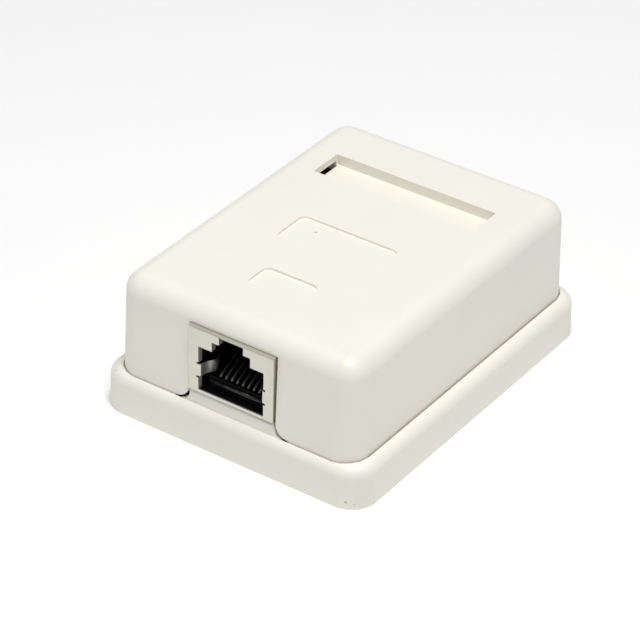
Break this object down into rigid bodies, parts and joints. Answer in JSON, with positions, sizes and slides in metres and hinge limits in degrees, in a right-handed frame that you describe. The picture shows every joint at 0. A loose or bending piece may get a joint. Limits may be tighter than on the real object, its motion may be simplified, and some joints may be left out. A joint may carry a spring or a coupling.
{
  "type": "surface mount jack box",
  "caption": "Small ivory wall box with a rounded tray base, a domed lift-off cover and one shielded modular socket in its front.",
  "frame": {"origin": "centre of the underside, in the plane that lies on the wall", "axes": "+X to the right seen from the port, +Y along the box from the port to the cable end, +Z out from the wall"},
  "size_m": [0.0484, 0.063, 0.024],
  "materials": {
    "ivory_plastic": "satin moulded",
    "foam_tape": "matt foam",
    "green_laminate": "solder mask",
    "plated_sheet": "satin nickel plate",
    "black_plastic": "fine matt",
    "contact_wire": "thin gold flash, dull",
    "white_plastic": "satin moulded",
    "tinned_bronze": "tin plate",
    "screw_steel": "zinc plate"
  },
  "bodies": {
    "base_body": {"base": "ivory_plastic", "adhesive_pad": "foam_tape", "circuit_board": "green_laminate", "jack_shell": "plated_sheet", "jack_housing": "black_plastic", "contact_insert": "black_plastic", "idc_block_left": "white_plastic", "idc_block_right": "white_plastic", "cable_clamp": "plated_sheet", "clamp_screws": "screw_steel", "board_screws": "screw_steel", "contact_tail_1": "contact_wire", "idc_terminal_1": "tinned_bronze", "contact_tail_2": "contact_wire", "idc_terminal_2": "tinned_bronze", "contact_tail_3": "contact_wire", "idc_terminal_3": "tinned_bronze", "contact_tail_4": "contact_wire", "idc_terminal_4": "tinned_bronze", "contact_tail_5": "contact_wire", "idc_terminal_5": "tinned_bronze", "contact_tail_6": "contact_wire", "idc_terminal_6": "tinned_bronze", "contact_tail_7": "contact_wire", "idc_terminal_7": "tinned_bronze", "contact_tail_8": "contact_wire", "idc_terminal_8": "tinned_bronze"},
    "cover_body": {"cover": "ivory_plastic"},
    "contact_1": {"contact_beam_1": "contact_wire"},
    "contact_2": {"contact_beam_2": "contact_wire"},
    "contact_3": {"contact_beam_3": "contact_wire"},
    "contact_4": {"contact_beam_4": "contact_wire"},
    "contact_5": {"contact_beam_5": "contact_wire"},
    "contact_6": {"contact_beam_6": "contact_wire"},
    "contact_7": {"contact_beam_7": "contact_wire"},
    "contact_8": {"contact_beam_8": "contact_wire"}
  },
  "joints": [
    {"name": "cover_lift", "type": "slide", "parent": "base_body", "child": "cover_body", "axis": [0, 0, 1], "range_m": [0, 0.03]},
    {"name": "contact_1_flex", "type": "hinge", "parent": "base_body", "child": "contact_1", "pos_m": [-0.00356, -0.02765, 0.01194], "axis": [-1, 0, 0], "range_deg": [0, 12], "stiffness_Nm_per_rad": 0.04},
    {"name": "contact_2_flex", "type": "hinge", "parent": "base_body", "child": "contact_2", "pos_m": [-0.00254, -0.02765, 0.01194], "axis": [-1, 0, 0], "range_deg": [0, 12], "stiffness_Nm_per_rad": 0.04},
    {"name": "contact_3_flex", "type": "hinge", "parent": "base_body", "child": "contact_3", "pos_m": [-0.00152, -0.02765, 0.01194], "axis": [-1, 0, 0], "range_deg": [0, 12], "stiffness_Nm_per_rad": 0.04},
    {"name": "contact_4_flex", "type": "hinge", "parent": "base_body", "child": "contact_4", "pos_m": [-0.00051, -0.02765, 0.01194], "axis": [-1, 0, 0], "range_deg": [0, 12], "stiffness_Nm_per_rad": 0.04},
    {"name": "contact_5_flex", "type": "hinge", "parent": "base_body", "child": "contact_5", "pos_m": [0.00051, -0.02765, 0.01194], "axis": [-1, 0, 0], "range_deg": [0, 12], "stiffness_Nm_per_rad": 0.04},
    {"name": "contact_6_flex", "type": "hinge", "parent": "base_body", "child": "contact_6", "pos_m": [0.00152, -0.02765, 0.01194], "axis": [-1, 0, 0], "range_deg": [0, 12], "stiffness_Nm_per_rad": 0.04},
    {"name": "contact_7_flex", "type": "hinge", "parent": "base_body", "child": "contact_7", "pos_m": [0.00254, -0.02765, 0.01194], "axis": [-1, 0, 0], "range_deg": [0, 12], "stiffness_Nm_per_rad": 0.04},
    {"name": "contact_8_flex", "type": "hinge", "parent": "base_body", "child": "contact_8", "pos_m": [0.00356, -0.02765, 0.01194], "axis": [-1, 0, 0], "range_deg": [0, 12], "stiffness_Nm_per_rad": 0.04}
  ]
}
